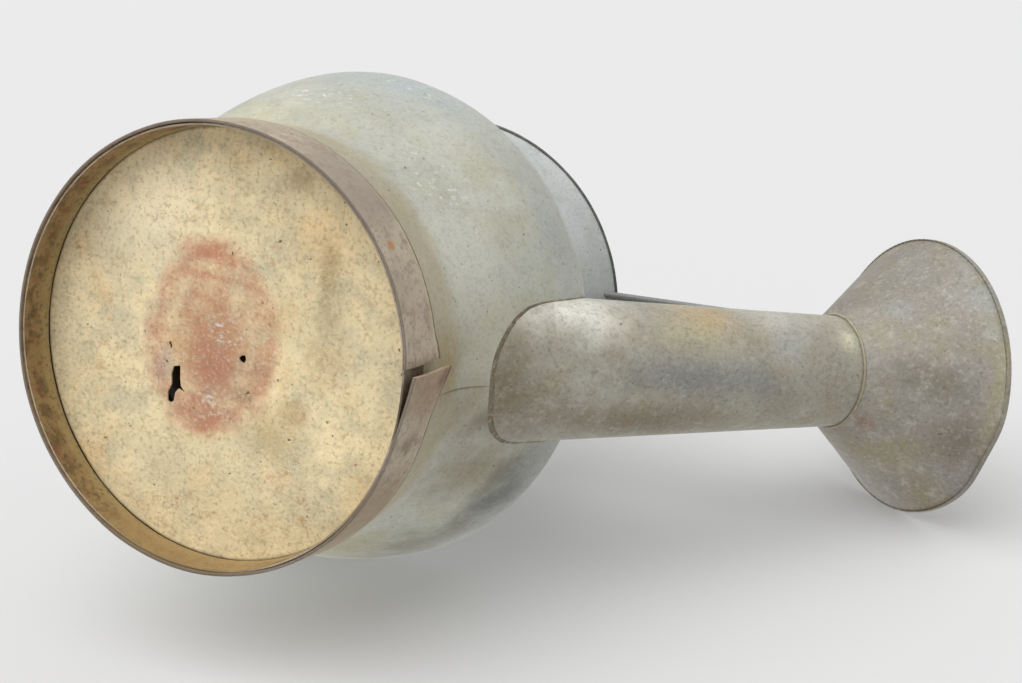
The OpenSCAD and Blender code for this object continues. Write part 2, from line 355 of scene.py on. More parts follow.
def ragged_prism(name, outline, low, height):
    """Upright prism over an uneven outline."""
    deselect()
    bpy.ops.mesh.primitive_plane_add(size=MM)
    prism = bpy.context.object
    prism.name = name
    enter(prism)
    bpy.ops.mesh.select_all(action="SELECT")
    bpy.ops.mesh.merge(type="CENTER")
    bpy.ops.transform.translate(value=(outline[0][0] * MM, outline[0][1] * MM, low * MM))
    for last, point in zip(outline, outline[1:]):
        step = ((point[0] - last[0]) * MM, (point[1] - last[1]) * MM, 0)
        bpy.ops.mesh.extrude_region_move(TRANSFORM_OT_translate={"value": step})
    bpy.ops.mesh.select_all(action="SELECT")
    bpy.ops.mesh.edge_face_add()
    bpy.ops.mesh.extrude_region_move(TRANSFORM_OT_translate={"value": (0, 0, height * MM)})
    bpy.ops.mesh.select_all(action="SELECT")
    bpy.ops.mesh.normals_make_consistent(inside=False)
    leave()
    return prism


def spout_blank(name, grow, reach, past=0.0):
    """Tapered tube along +Z ending at the origin: oval at the root, round at the end."""
    rings = 30
    deselect()
    bpy.ops.mesh.primitive_circle_add(vertices=128, radius=(SPOUT_TIP_R + grow) * MM,
                                      location=(0, 0, past * MM))
    tube = bpy.context.object
    tube.name = name
    bpy.ops.object.transform_apply(location=True)
    enter(tube)
    bpy.ops.mesh.select_all(action="SELECT")
    wide = flat = SPOUT_TIP_R + grow
    step = (reach + past) / rings
    for k in range(1, rings + 1):
        share = k * step / SPOUT_LEN
        next_wide = SPOUT_TIP_R + grow + (SPOUT_ROOT_R - SPOUT_TIP_R) * share
        next_flat = SPOUT_TIP_R + grow + SPOUT_THIN_GROWTH * share
        bpy.ops.mesh.extrude_region_move(TRANSFORM_OT_translate={"value": (0, 0, -step * MM)})
        bpy.ops.transform.resize(value=(next_flat / flat, next_wide / wide, 1),
                                 center_override=(0, 0, (past - k * step) * MM))
        wide, flat = next_wide, next_flat
    bpy.ops.mesh.select_all(action="SELECT")
    bpy.ops.mesh.normals_make_consistent(inside=False)
    leave()
    return tube


def squared(piece):
    """Works the root of the spout out into two corners, nearly flat between them."""
    dented(piece, (112, -31, 92), (1.8, -3.4, -1.8), 38)
    dented(piece, (110, 31, 88), (0.4, 2.6, -0.4), 26)
    return dented(piece, (105, 8, 72), (-0.8, 0, 0.8), 22)


def spout_bore():
    """The inside of the spout as a solid, for cutting."""
    plug = spout_blank("bore", -SHEET, BORE_REACH)
    enter(plug)
    bpy.ops.mesh.select_all(action="SELECT")
    bpy.ops.mesh.region_to_loop()
    bpy.ops.mesh.edge_face_add()
    bpy.ops.mesh.select_all(action="DESELECT")
    for height in (0.0, -BORE_REACH):
        choose(plug, lambda co, z=height: abs(co.z - z * MM) < 0.01 * MM)
        bpy.ops.mesh.edge_face_add()
        bpy.ops.mesh.select_all(action="DESELECT")
    bpy.ops.mesh.select_all(action="SELECT")
    bpy.ops.mesh.normals_make_consistent(inside=False)
    leave()
    return squared(placed(plug, SPOUT_END, SPOUT_RISE, SPOUT_YAW))


def make_lower_shell():
    """Body sheet, opened to the spout, with the end of its lapped seam laid over it."""
    shell = spun("lower_shell", side_profile(), 240, closed=False)
    rippled(shell, 70, 1.1)
    thick(shell, SHEET)
    cut(shell, spout_bore())
    lap = make_lap()
    deselect()
    lap.select_set(True)
    shell.select_set(True)
    bpy.context.view_layer.objects.active = shell
    bpy.ops.object.join()
    return smooth(shell, 50)


def make_lap():
    """End of the body sheet, rising to stand proud of it from the hoop up to the spout."""
    rows = [point for point in side_profile() if point.y < LAP_TOP]
    lap = spun("lap", rows, 8, LAP_AT - 8, 8, closed=False)
    for column in range(9):
        line = polar(LAP_AT - column)
        grow = 1 + (7 - column) * 0.001
        enter(lap)
        choose(lap, lambda co: abs(co.x * line.y - co.y * line.x) < 0.05 * MM)
        bpy.ops.transform.resize(value=(grow, grow, 1), center_override=(0, 0, 0))
        leave()
    rippled(lap, 70, 1.1)
    return thick(lap, SHEET)


def make_upper_shell():
    """Shoulder sheet, its lower edge lapped inside the body."""
    lap_r = BELLY_R - SHOULDER_IN
    base = BELLY_Z + GAP
    profile = [Vector((lap_r, base - SHOULDER_DOWN)), Vector((lap_r, base - 1.2))] + shoulder_profile()
    shell = spun("upper_shell", profile, 200)
    thick(shell, SHEET)
    cut(shell, spout_bore())
    return smooth(shell)


def make_flared_collar():
    """Mouth of the can, flaring out to a wired edge."""
    radius = NECK_R - SHEET - GAP
    centre = Vector((radius + FLARE_R, NECK_TOP))
    turn = centre + polar(180 - LIP_ANGLE, FLARE_R)
    lip = turn - polar(180 - LIP_ANGLE, LIP_R)
    profile = ([Vector((radius, NECK_TOP - NECK_H))] + arc(centre, FLARE_R, 180, 180 - LIP_ANGLE, 16)
               + arc(lip, LIP_R, 180 - LIP_ANGLE - 3, 180 - LIP_END, 8))
    collar = spun("flared_collar", profile, 200, closed=False)
    thick(collar, SHEET)
    bead = profile[-1] + polar(-LIP_END, 0.3)
    return smooth(collar), make_rim_bead(bead)


def make_rim_bead(place):
    """Wire that the edge of the collar is closed over."""
    deselect()
    bpy.ops.mesh.primitive_torus_add(major_segments=200, minor_segments=12, major_radius=place.x * MM,
                                     minor_radius=RIM_BEAD_R * MM, location=(0, 0, place.y * MM))
    bead = bpy.context.object
    bead.name = bead.data.name = "rim_bead"
    bpy.ops.object.transform_apply(location=True)
    return smooth(rippled(bead, 9, 0.3), 60)


def can_plug():
    """Filled outline of the can up to its neck, for cutting."""
    profile = side_profile() + shoulder_profile()
    profile = [Vector((0, profile[0].y))] + profile + [Vector((0, profile[-1].y))]
    return spun("can_plug", profile, 240)


def make_spout_tube():
    """Wide spout, rolled from one sheet and scribed to the body."""
    tube = spout_blank("spout_tube", 0.0, SPOUT_REACH, SPOUT_PAST)
    thick(tube, SHEET)
    squared(placed(tube, SPOUT_END, SPOUT_RISE, SPOUT_YAW))
    cut(tube, can_plug())
    return smooth(tube)


def make_spout_solder():
    """Flange of solder around the root of the spout, following the body."""
    bead = spout_blank("spout_solder", SOLDER_OUT, SPOUT_REACH)
    thick(bead, SOLDER_WALL)
    squared(placed(bead, SPOUT_END, SPOUT_RISE, SPOUT_YAW))
    cut(bead, can_plug())
    cut(bead, modified(can_plug(), "DISPLACE", strength=SOLDER_SKIN * MM, mid_level=0.0), "INTERSECT")
    modified(bead, "BEVEL", width=0.4 * MM, segments=2, limit_method="ANGLE", angle_limit=math.radians(50))
    return smooth(bead, 60)


def make_rose_shell():
    """Cone of the rose, its rim knocked in on one side."""
    base = SPOUT_TIP_R + SHEET
    rim = ROSE_R - SHEET - GAP
    slope = [Vector((base + (rim - base) * k / 24, (ROSE_H - FOLD_SHOWN) * k / 24)) for k in range(25)]
    profile = [Vector((base - 3, 0.2)), Vector((base - 0.6, -0.1))] + slope + [Vector((rim, ROSE_H - SHEET))]
    shell = spun("rose_shell", profile, 160)
    rippled(shell, 30, 0.7)
    thick(shell, SHEET)
    placed(shell, SPOUT_END, ROSE_RISE, ROSE_YAW)
    for place in BLISTERS:
        dented(shell, place, (-0.9, 0.1, -0.9), 3.5)
    knocked(shell)
    return smooth(shell)


def make_rose_plate():
    """Perforated face of the rose, knocked in with the rim that it is folded over."""
    deselect()
    plate = nodes["rose_face"].copy()
    plate.data = plate.data.copy()
    plate.name = plate.data.name = "rose_plate"
    bpy.context.scene.collection.objects.link(plate)
    enter(plate)
    bpy.ops.mesh.select_all(action="SELECT")
    bpy.ops.mesh.remove_doubles(threshold=0.001 * MM)
    axis = Vector((math.cos(math.radians(ROSE_RISE)), 0, math.sin(math.radians(ROSE_RISE))))
    hem = (ROSE_H - FOLD_H + 1) * MM
    choose(plate, lambda co: (co - Vector(SPOUT_END) * MM).dot(axis) < hem)
    bpy.ops.transform.translate(value=tuple(axis * (FOLD_H - FOLD_SHOWN) * MM))
    leave()
    knocked(plate)
    return smooth(plate, 30)


def knocked(piece):
    """The blow that flattened the rim of the rose."""
    return dented(piece, ROSE_BLOW, (-1.4, -0.8, 1.4), 26)


def make_rose_solder():
    """Ring of solder where the rose sits on the spout."""
    deselect()
    bpy.ops.mesh.primitive_torus_add(major_segments=120, minor_segments=10,
                                     major_radius=(SPOUT_TIP_R + SHEET) * MM, minor_radius=ROSE_SOLDER_R * MM)
    ring = bpy.context.object
    ring.name = ring.data.name = "rose_solder"
    rippled(ring, 6, 0.6)
    placed(ring, SPOUT_END, ROSE_RISE, ROSE_YAW)
    return smooth(ring, 60)


# ---------------------------------------------------------------- finishes

def linear(code):
    """sRGB hex colour as linear red, green, blue and alpha."""
    parts = [int(code[k:k + 2], 16) / 255 for k in (1, 3, 5)]
    return (*[p / 12.92 if p <= 0.04045 else ((p + 0.055) / 1.055) ** 2.4 for p in parts], 1.0)


def add(tree, kind, links=None, values=None, **settings):
    """Adds a node with its settings, its input values and its links."""
    node = tree.nodes.new(kind)
    for key, value in settings.items():
        setattr(node, key, value)
    for key, value in (values or {}).items():
        node.inputs[key].default_value = value
    for key, socket in (links or {}).items():
        tree.links.new(socket, node.inputs[key])
    return node


def new_material(name):
    """An empty material with its shader, output and object coordinates."""
    material = bpy.data.materials.new(name)
    material.use_nodes = True
    tree = material.node_tree
    tree.nodes.clear()
    shader = add(tree, "ShaderNodeBsdfPrincipled")
    add(tree, "ShaderNodeOutputMaterial", {"Surface": shader.outputs[0]})
    point = add(tree, "ShaderNodeTexCoord").outputs["Object"]
    return material, tree, shader, point


def patches(tree, point, size, low, high, detail=4.0, rough=0.6, skew=0.0, stretch=(1, 1, 1)):
    """Mask of cloudy patches of one size in millimetres, soft between two noise levels."""
    moved = add(tree, "ShaderNodeMapping", {"Vector": point}, {"Location": (skew, skew, 0), "Scale": stretch})
    noise = add(tree, "ShaderNodeTexNoise", {"Vector": moved.outputs[0]},
                {"Scale": 1 / (size * MM), "Detail": detail, "Roughness": rough})
    return add(tree, "ShaderNodeMapRange", {"Value": noise.outputs["Fac"]},
               {"From Min": low, "From Max": high}, interpolation_type="SMOOTHSTEP").outputs[0]


def spot(tree, point, centre, reach, ragged=0.5, soft=0.6, grain=12.0):
    """Mask that is full at a place in millimetres and fades out raggedly at its reach."""
    moved = add(tree, "ShaderNodeMapping", {"Vector": point},
                {"Location": tuple(Vector(centre) * MM), "Scale": tuple(Vector(reach) * MM)},
                vector_type="TEXTURE")
    far = add(tree, "ShaderNodeVectorMath", {0: moved.outputs[0]}, operation="LENGTH").outputs["Value"]
    noise = add(tree, "ShaderNodeTexNoise", {"Vector": point}, {"Scale": 1 / (grain * MM), "Detail": 4.0})
    uneven = add(tree, "ShaderNodeMath", {0: noise.outputs["Fac"], 2: far}, {1: ragged},
                 operation="MULTIPLY_ADD")
    return add(tree, "ShaderNodeMapRange", {"Value": uneven.outputs[0]},
               {"From Min": 1.0 + ragged / 2, "From Max": 1.0 + ragged / 2 - soft},
               interpolation_type="SMOOTHSTEP").outputs[0]


def coated(tree, under, mask, colour, strength=1.0):
    """Lays a colour over another where a mask is full."""
    share = add(tree, "ShaderNodeMath", {0: mask}, {1: strength}, operation="MULTIPLY")
    mix = add(tree, "ShaderNodeMix", {0: share.outputs[0]}, {7: linear(colour)}, data_type="RGBA")
    if isinstance(under, str):
        mix.inputs[6].default_value = linear(under)
    else:
        tree.links.new(under, mix.inputs[6])
    return mix.outputs[2]


def clouded(tree, under, point, layers):
    """Lays cloudy colours one over another, each with its size in millimetres and its strength."""
    for size, low, high, detail, rough, skew, tint, strength in layers:
        mask = patches(tree, point, size, low, high, detail, rough, skew)
        under = coated(tree, under, mask, tint, strength)
    return under


def spotted(tree, under, point, spots, ragged, soft, grain):
    """Lays single ragged spots of colour, each at its place, with its reach in millimetres."""
    for centre, reach, tint, strength in spots:
        mask = spot(tree, point, centre, reach, ragged, soft, grain)
        under = coated(tree, under, mask, tint, strength)
    return under


def grit(tree, shader, point, heights):
    """Relief of several grain sizes, each a size and a height in millimetres."""
    normal = None
    for size, height in heights:
        noise = add(tree, "ShaderNodeTexNoise", {"Vector": point}, {"Scale": 1 / (size * MM), "Detail": 3.0})
        bump = add(tree, "ShaderNodeBump", {"Height": noise.outputs["Fac"]}, {"Distance": height * MM})
        if normal is not None:
            tree.links.new(normal, bump.inputs["Normal"])
        normal = bump.outputs[0]
    tree.links.new(normal, shader.inputs["Normal"])


def around(tree, point, radius, width):
    """Mask that is full where a surface lies further from the can's axis than a radius."""
    flat = add(tree, "ShaderNodeVectorMath", {0: point}, {1: (1, 1, 0)}, operation="MULTIPLY")
    far = add(tree, "ShaderNodeVectorMath", {0: flat.outputs[0]}, operation="LENGTH")
    return add(tree, "ShaderNodeMapRange", {"Value": far.outputs["Value"]},
               {"From Min": (radius - width / 2) * MM, "From Max": (radius + width / 2) * MM}).outputs[0]


def level(tree, point, low, high, ragged, grain=6.0):
    """Mask rising from nothing at one height to full at another, its edge ragged by some millimetres."""
    place = add(tree, "ShaderNodeSeparateXYZ", {0: point}).outputs["Z"]
    noise = add(tree, "ShaderNodeTexNoise", {"Vector": point}, {"Scale": 1 / (grain * MM), "Detail": 4.0})
    uneven = add(tree, "ShaderNodeMath", {0: noise.outputs["Fac"], 2: place}, {1: ragged * MM},
                 operation="MULTIPLY_ADD")
    lift = ragged / 2
    return add(tree, "ShaderNodeMapRange", {"Value": uneven.outputs[0]},
               {"From Min": (low + lift) * MM, "From Max": (high + lift) * MM},
               interpolation_type="SMOOTHSTEP").outputs[0]


def inside(tree, point):
    """Mask that is full on faces turned towards the can's axis."""
    normal = add(tree, "ShaderNodeNewGeometry").outputs["Normal"]
    flat = add(tree, "ShaderNodeVectorMath", {0: point}, {1: (1, 1, 0)}, operation="MULTIPLY")
    facing = add(tree, "ShaderNodeVectorMath", {0: flat.outputs[0], 1: normal}, operation="DOT_PRODUCT")
    return add(tree, "ShaderNodeMath", {0: facing.outputs["Value"]}, {1: -0.02},
               operation="LESS_THAN").outputs[0]


def broken(tree, point, mask, *cloud, **settings):
    """A mask broken up, so that it is left only in cloudy patches."""
    left = patches(tree, point, *cloud, **settings)
    return add(tree, "ShaderNodeMath", {0: mask, 1: left}, operation="MULTIPLY").outputs[0]


def scratched(tree, under, point, across, colour, strength, size=1.5, low=0.6):
    """Fine scratches and drag marks, drawn out along one axis."""
    lines = patches(tree, point, size, low, low + 0.12, 3.0, stretch=across)
    return coated(tree, under, broken(tree, point, lines, 35, 0.45, 0.65, skew=1.7), colour, strength)


def zinc(name, pale, deep, stain, spots=(), seed=0.0, speckle=0.5, hollow=True, bands=()):
    """Weathered hot-dip zinc: dull grey oxide with a faint metal sheen, mottled by damp and soil."""
    material, tree, shader, point = new_material(name)
    colour = clouded(tree, pale, point, (
        (60, 0.35, 0.65, 4.0, 0.6, seed, deep, 0.8),
        (20, 0.42, 0.7, 4.0, 0.6, seed + 0.3, stain, 0.5),
    ))
    colour = spotted(tree, colour, point, spots, 0.8, 1.0, 16)
    for low, high, tint, strength in bands:
        colour = coated(tree, colour, level(tree, point, low, high, 12, 14), tint, strength)
    colour = clouded(tree, colour, point, (
        # Mottling about 10 mm across
        (11, 0.5, 0.7, 6.0, 0.7, seed + 0.9, "#8a8880", 0.4 * speckle),
        (9, 0.52, 0.7, 6.0, 0.7, seed + 1.4, "#cfcfc6", 0.3 * speckle),
        # Oxide grain, really half a millimetre, drawn 2 to 4 mm across so that it shows
        (4.5, 0.5, 0.72, 5.0, 0.75, seed, "#66645a", 0.45 * speckle),
        (1.8, 0.5, 0.68, 2.0, 0.6, seed + 0.1, "#5c5a51", 0.35 * speckle),
        (2.4, 0.5, 0.74, 4.0, 0.6, seed + 0.7, "#c8c6ba", 0.3 * speckle),
    ))
    colour = scratched(tree, colour, point, (0.25, 1, 1), "#dcdcd2", 0.25)
    # Pinholes of rust through the coat
    colour = coated(tree, colour, patches(tree, point, 2.2, 0.74, 0.78, 1.0, skew=seed), "#4a3f31", 0.7)
    # Faces turned to the can's axis are dark rust-brown: partly rust, partly painted shade of the can's
    # inside
    if hollow:
        dark = coated(tree, "#5d5346", patches(tree, point, 14, 0.4, 0.65), "#7a5a3c")
        mix = add(tree, "ShaderNodeMix", {0: inside(tree, point), 6: colour, 7: dark}, data_type="RGBA")
        colour = mix.outputs[2]
    tree.links.new(colour, shader.inputs["Base Color"])
    shader.inputs["Metallic"].default_value = 0.25
    shader.inputs["Roughness"].default_value = 0.55
    grit(tree, shader, point, ((1.2, 0.08), (7, 0.3)))
    return material


def scuffed(material, places):
    """Broken white scratches where the can has been dragged, over the colour that is there."""
    tree = material.node_tree
    point = add(tree, "ShaderNodeTexCoord").outputs["Object"]
    socket = next(node for node in tree.nodes if node.type == "BSDF_PRINCIPLED").inputs["Base Color"]
    colour = socket.links[0].from_socket
    for centre, reach in places:
        area = spot(tree, point, centre, reach, 0.8, 1.0)
        marks = broken(tree, point, area, 2.5, 0.55, 0.66, 5.0, 0.7, skew=0.6, stretch=(0.5, 1, 1))
        colour = coated(tree, colour, marks, "#e9eae6", 0.8)
    tree.links.new(colour, socket)


def rusted_hoop_iron():
    """Old hoop iron: closed brown rust with a mauve bloom outside, olive-brown with tan lime inside, and a
    painted shadow in the gap behind the torn end.
    """
    material, tree, shader, point = new_material("rusted_hoop_iron")
    outer = clouded(tree, "#b7aa95", point, (
        # Broad blooms of rust, then scale
        (26, 0.4, 0.65, 4.0, 0.6, 0.0, "#aa9c88", 1.0),
        (9, 0.5, 0.7, 4.0, 0.6, 0.2, "#8b7462", 0.6),
        # Rust grain, really under a millimetre, drawn about 2 mm across so that it shows
        (2.2, 0.5, 0.68, 3.0, 0.6, 0.0, "#7a675a", 0.45),
        (1.6, 0.58, 0.72, 2.0, 0.6, 0.5, "#c9bdac", 0.3),
    ))
    outer = scratched(tree, outer, point, (1, 0.15, 1), "#6d5a49", 0.5, 1.6, 0.55)
    outer = coated(tree, outer, level(tree, point, HOOP_H - 3.5, HOOP_H - 1.2, 4), "#bfb38f", 0.7)
    outer = coated(tree, outer, level(tree, point, HOOP_H - 1.6, HOOP_H - 0.6, 1.5, 3), "#4d4138", 0.8)
    outer = spotted(tree, outer, point, (
        ((104, -4, 13), (12, 20, 20), "#94795f", 0.6),
        ((104, -10, 24), (9, 7, 6), "#6f4538", 0.6),
        # Painted shadow: dark where the flange shows in the gap behind the sprung end of the hoop
        ((97, 3, 10), (3, 26, 20), "#3d3126", 0.9),
        ((55, -84, 13), (44, 30, 30), "#8f8277", 0.6),
        ((79.5, -61.6, 9.8), (3, 3, 3), "#b5763c", 0.8),
        ((82, 57, 10), (40, 34, 30), "#94805f", 0.7),
        ((0, 100, 10), (60, 30, 40), "#86734a", 0.75),
    ), 0.5, 0.6, 5)
    inner = clouded(tree, "#9a8056", point, (
        (8, 0.42, 0.62, 4.0, 0.6, 0.0, "#76603f", 1.0),
        (5, 0.5, 0.66, 4.0, 0.6, 0.9, "#8f5a3a", 0.6),
    ))
    inner = coated(tree, inner, level(tree, point, 9, 15, 6), "#b09d6c", 0.75)
    inner = coated(tree, inner, patches(tree, point, 2.0, 0.52, 0.68, 3.0), "#4d3f2c", 0.5)
    inner = coated(tree, inner, spot(tree, point, (0, 98, 8), (75, 40, 30), grain=8), "#a48a5c", 0.6)
    mix = add(tree, "ShaderNodeMix", {0: inside(tree, point), 6: outer, 7: inner}, data_type="RGBA")
    # Metal worn bare along the ground edge
    colour = coated(tree, mix.outputs[2], level(tree, point, 0.9, 0.2, 0.8, 4), "#5c534d", 0.7)
    tree.links.new(colour, shader.inputs["Base Color"])
    shader.inputs["Metallic"].default_value = 0.1
    shader.inputs["Roughness"].default_value = 0.7
    grit(tree, shader, point, ((1.0, 0.12), (5, 0.35)))
    return material


def limed_bottom_sheet():
    """Bottom sheet under a dry crust of lime and soil, with a faded ring of red lead, and a pale spot and a
    darker band of painted light and shade.
    """
    material, tree, shader, point = new_material("limed_bottom_sheet")
    colour = clouded(tree, "#f3deb2", point, (
        (40, 0.36, 0.62, 4.0, 0.6, 0.0, "#e6d4aa", 1.0),
        (16, 0.42, 0.66, 6.0, 0.6, 0.4, "#c9bf9c", 0.6),
        (26, 0.5, 0.7, 5.0, 0.6, 0.8, "#bab79d", 0.5),
        (24, 0.52, 0.7, 5.0, 0.6, 1.3, "#e3bb85", 0.45),
    ))
    colour = spotted(tree, colour, point, (
        ((-62, -37, 18), (28, 34, 10), "#b9b69b", 0.5),
        ((50, -31, 18), (16, 22, 10), "#a4987a", 0.5),
        ((50, -10, 18), (16, 26, 10), "#b5a078", 0.4),
        ((58, 62, 18), (30, 20, 10), "#b7b394", 0.5),
        ((-25, 60, 18), (26, 24, 10), "#c9bf9c", 0.5),
        ((30, 35, 18), (24, 18, 10), "#a8986f", 0.45),
        # Painted light: pale spot that lifts the hoop's shadow off the upper part of the sheet
        ((-45, -58, 18), (44, 36, 10), "#fff0ca", 0.7),
        ((42, -58, 18), (26, 22, 10), "#e6c088", 0.55),
        ((28, -80, 18), (12, 8, 10), "#8f774e", 0.5),
        ((48, -44, 18), (8, 20, 10), "#9c8152", 0.5),
        ((38, 22, 18), (16, 10, 10), "#9c7c4e", 0.5),
        # Painted shade: wider, darker band low across the sheet
        ((15, 76, 18), (70, 24, 10), "#d3c096", 0.6),
    ), 0.9, 0.9, 9)
    # Red lead: a ring brushed thick at its top, faint arcs inside it, and a pink stain lower down
    colour = coated(tree, colour, spot(tree, point, (-7, 2, 18), (34, 42, 10), 0.8, 0.9, 10), "#b98765", 0.8)
    for centre, reach, width, tint, strength in (
        ((-7.6, -1, 18), (30, 38), 0.26, "#b96f56", 0.6),
        ((-11.4, -15.3, 18), (10, 10), 0.5, "#b8755c", 0.35),
    ):
        colour = coated(tree, colour, ring(tree, point, centre, reach, width), tint, strength)
    colour = spotted(tree, colour, point, (
        ((-5, -2, 18), (29, 38, 10), "#b37a5e", 0.5),
        ((-14, -41, 18), (21, 8, 10), "#b6614a", 0.6),
        ((-8, -30, 18), (24, 4, 10), "#bb7459", 0.55),
        ((-13, -20, 18), (14, 4, 10), "#b9775f", 0.45),
        ((-3, 12, 18), (20, 22, 10), "#ad7460", 0.6),
        ((-8, 33, 18), (20, 13, 10), "#ae6650", 0.65),
        ((20, 6, 18), (9, 14, 10), "#b3745a", 0.5),
        ((-31, 14, 18), (8, 14, 10), "#ad958d", 0.5),
        ((12, 19, 18), (9, 7, 10), "#7d5c46", 0.4),
    ), 1.0, 0.9, 6)
    # Brown specks in drifts, and fewer, redder stains
    specks = patches(tree, point, 6, 0.48, 0.7, 6.0, 0.75, skew=0.2)
    colour = coated(tree, colour, broken(tree, point, specks, 34, 0.4, 0.6, skew=3.1), "#9a8058", 0.5)
    stains = patches(tree, point, 4, 0.5, 0.62, 6.0, 0.8, skew=4.2)
    colour = coated(tree, colour, broken(tree, point, stains, 22, 0.5, 0.64, skew=5.3), "#a8703f", 0.45)
    colour = clouded(tree, colour, point, (
        (12, 0.5, 0.72, 6.0, 0.7, 2.4, "#b0ac8e", 0.45),
        # Soil and lime grains, really half a millimetre, drawn about 2 mm across so that they show
        (2.0, 0.5, 0.7, 3.0, 0.6, 0.6, "#857350", 0.4),
        (1.8, 0.52, 0.72, 3.0, 0.6, 1.1, "#f0e4c4", 0.35),
        # Pits
        (3.2, 0.71, 0.75, 2.0, 0.6, 1.9, "#4a3a28", 0.8),
    ))
    colour = scratched(tree, colour, point, (1, 0.2, 1), "#8a7450", 0.45, 1.2)
    colour = coated(tree, colour, around(tree, point, 97.2, 2.0), "#85693f", 0.6)
    tree.links.new(colour, shader.inputs["Base Color"])
    shader.inputs["Roughness"].default_value = 0.9
    grit(tree, shader, point, ((1.5, 0.2), (6, 0.45)))
    return material


def ring(tree, point, centre, reach, width):
    """Mask of a ragged oval ring in millimetres, its width a share of its radius."""
    moved = add(tree, "ShaderNodeMapping", {"Vector": point},
                {"Location": tuple(Vector(centre) * MM), "Scale": (reach[0] * MM, reach[1] * MM, 1)},
                vector_type="TEXTURE")
    far = add(tree, "ShaderNodeVectorMath", {0: moved.outputs[0]}, operation="LENGTH").outputs["Value"]
    noise = add(tree, "ShaderNodeTexNoise", {"Vector": point}, {"Scale": 1 / (9 * MM), "Detail": 5.0})
    uneven = add(tree, "ShaderNodeMath", {0: noise.outputs["Fac"], 2: far}, {1: 0.3},
                 operation="MULTIPLY_ADD")
    off = add(tree, "ShaderNodeMath", {0: uneven.outputs[0]}, {1: 1.15}, operation="SUBTRACT")
    size = add(tree, "ShaderNodeMath", {0: off.outputs[0]}, operation="ABSOLUTE")
    band = add(tree, "ShaderNodeMapRange", {"Value": size.outputs[0]}, {"From Min": width, "From Max": 0.05})
    return broken(tree, point, band.outputs[0], 9, 0.22, 0.58, 6.0, skew=0.5)


# ---------------------------------------------------------------- stage, light and camera

FLOOR_SIZE = 40.0
CLOTH_NORMAL = Vector((0.134, 0.976, 0.171)).normalized()
CLOTH_REACH = 149 * MM
CAMERA_AT = (342.08, -141.18, -510.48)
VIEW_RIGHT = (0.90989, -0.14947, 0.387)
VIEW_DOWN = (0.21, 0.97044, -0.11891)
# Soft lights: the way each comes from, its power, and how wide it is in degrees
LAMPS = {
    "key": ((-0.348, -0.773, -0.53), 0.68, 70),
    "top": ((0.3, -0.5, 1.0), 0.12, 80),
    "fill": ((-0.5, 0.8, 0.4), 0.12, 90),
}


def stage_material(name, colour, cloth):
    """Pale matt ground that shows to the camera only and lets the soft light through from below."""
    material = bpy.data.materials.new(name)
    material.use_nodes = True
    tree = material.node_tree
    tree.nodes.clear()
    matt = add(tree, "ShaderNodeBsdfDiffuse", None, {"Color": linear(colour)})
    lift = add(tree, "ShaderNodeEmission", None, {"Color": linear("#ffffff"), "Strength": 0.15})
    ground = add(tree, "ShaderNodeAddShader", {0: matt.outputs[0], 1: lift.outputs[0]})
    clear = add(tree, "ShaderNodeBsdfTransparent")
    path = add(tree, "ShaderNodeLightPath")
    side = add(tree, "ShaderNodeNewGeometry")
    front = add(tree, "ShaderNodeMath", {1: side.outputs["Backfacing"]}, {0: 1.0}, operation="SUBTRACT")
    shown = add(tree, "ShaderNodeMath", {0: path.outputs["Is Camera Ray"], 1: front.outputs[0]},
                operation="MULTIPLY")
    if cloth:
        place = add(tree, "ShaderNodeSeparateXYZ", {0: side.outputs["Position"]})
        below = add(tree, "ShaderNodeMath", {0: place.outputs["Z"]}, {1: 0.0}, operation="LESS_THAN")
        passed = add(tree, "ShaderNodeMath", {0: path.outputs["Transparent Depth"]}, {1: 0.5},
                     operation="GREATER_THAN")
        either = add(tree, "ShaderNodeMath", {0: below.outputs[0], 1: passed.outputs[0]}, operation="MAXIMUM")
        shown = add(tree, "ShaderNodeMath", {0: shown.outputs[0], 1: either.outputs[0]}, operation="MULTIPLY")
    mix = add(tree, "ShaderNodeMixShader", {0: shown.outputs[0], 1: clear.outputs[0], 2: ground.outputs[0]})
    add(tree, "ShaderNodeOutputMaterial", {"Surface": mix.outputs[0]})
    return material


def make_stage():
    """Floor under the standing can, and the cloth that the can leans against where it is seen from below."""
    deselect()
    bpy.ops.mesh.primitive_plane_add(size=FLOOR_SIZE)
    floor = bpy.context.object
    floor.name = "floor"
    floor.data.materials.append(stage_material("pale_floor", "#f4f4f4", False))
    deselect()
    bpy.ops.mesh.primitive_plane_add(size=FLOOR_SIZE)
    cloth = bpy.context.object
    cloth.name = "cloth"
    cloth.matrix_world = (Matrix.Translation(CLOTH_NORMAL * CLOTH_REACH)
                          @ (-CLOTH_NORMAL).to_track_quat("Z", "Y").to_matrix().to_4x4())
    cloth.data.materials.append(stage_material("white_cloth", "#bfbfbf", True))


def make_world():
    """Even white surroundings."""
    world = bpy.data.worlds.new("studio")
    world.use_nodes = True
    bpy.context.scene.world = world
    tree = world.node_tree
    tree.nodes.clear()
    path = add(tree, "ShaderNodeLightPath")
    soft = add(tree, "ShaderNodeBackground", None, {"Color": linear("#ffffff"), "Strength": 0.66})
    plain = add(tree, "ShaderNodeBackground", None, {"Color": linear("#f2f2f2"), "Strength": 1.0})
    mix = add(tree, "ShaderNodeMixShader",
              {0: path.outputs["Is Camera Ray"], 1: soft.outputs[0], 2: plain.outputs[0]})
    add(tree, "ShaderNodeOutputWorld", {"Surface": mix.outputs[0]})


def add_lamp(name, direction, power, spread):
    """Far, very large soft light coming from a direction, its power 1 for full white."""
    light = bpy.data.lights.new(name, "SUN")
    light.energy = math.pi * power
    light.angle = math.radians(spread)
    lamp = bpy.data.objects.new(name, light)
    lamp.rotation_mode = "QUATERNION"
    lamp.rotation_quaternion = Vector(direction).to_track_quat("Z", "Y")
    bpy.context.scene.collection.objects.link(lamp)


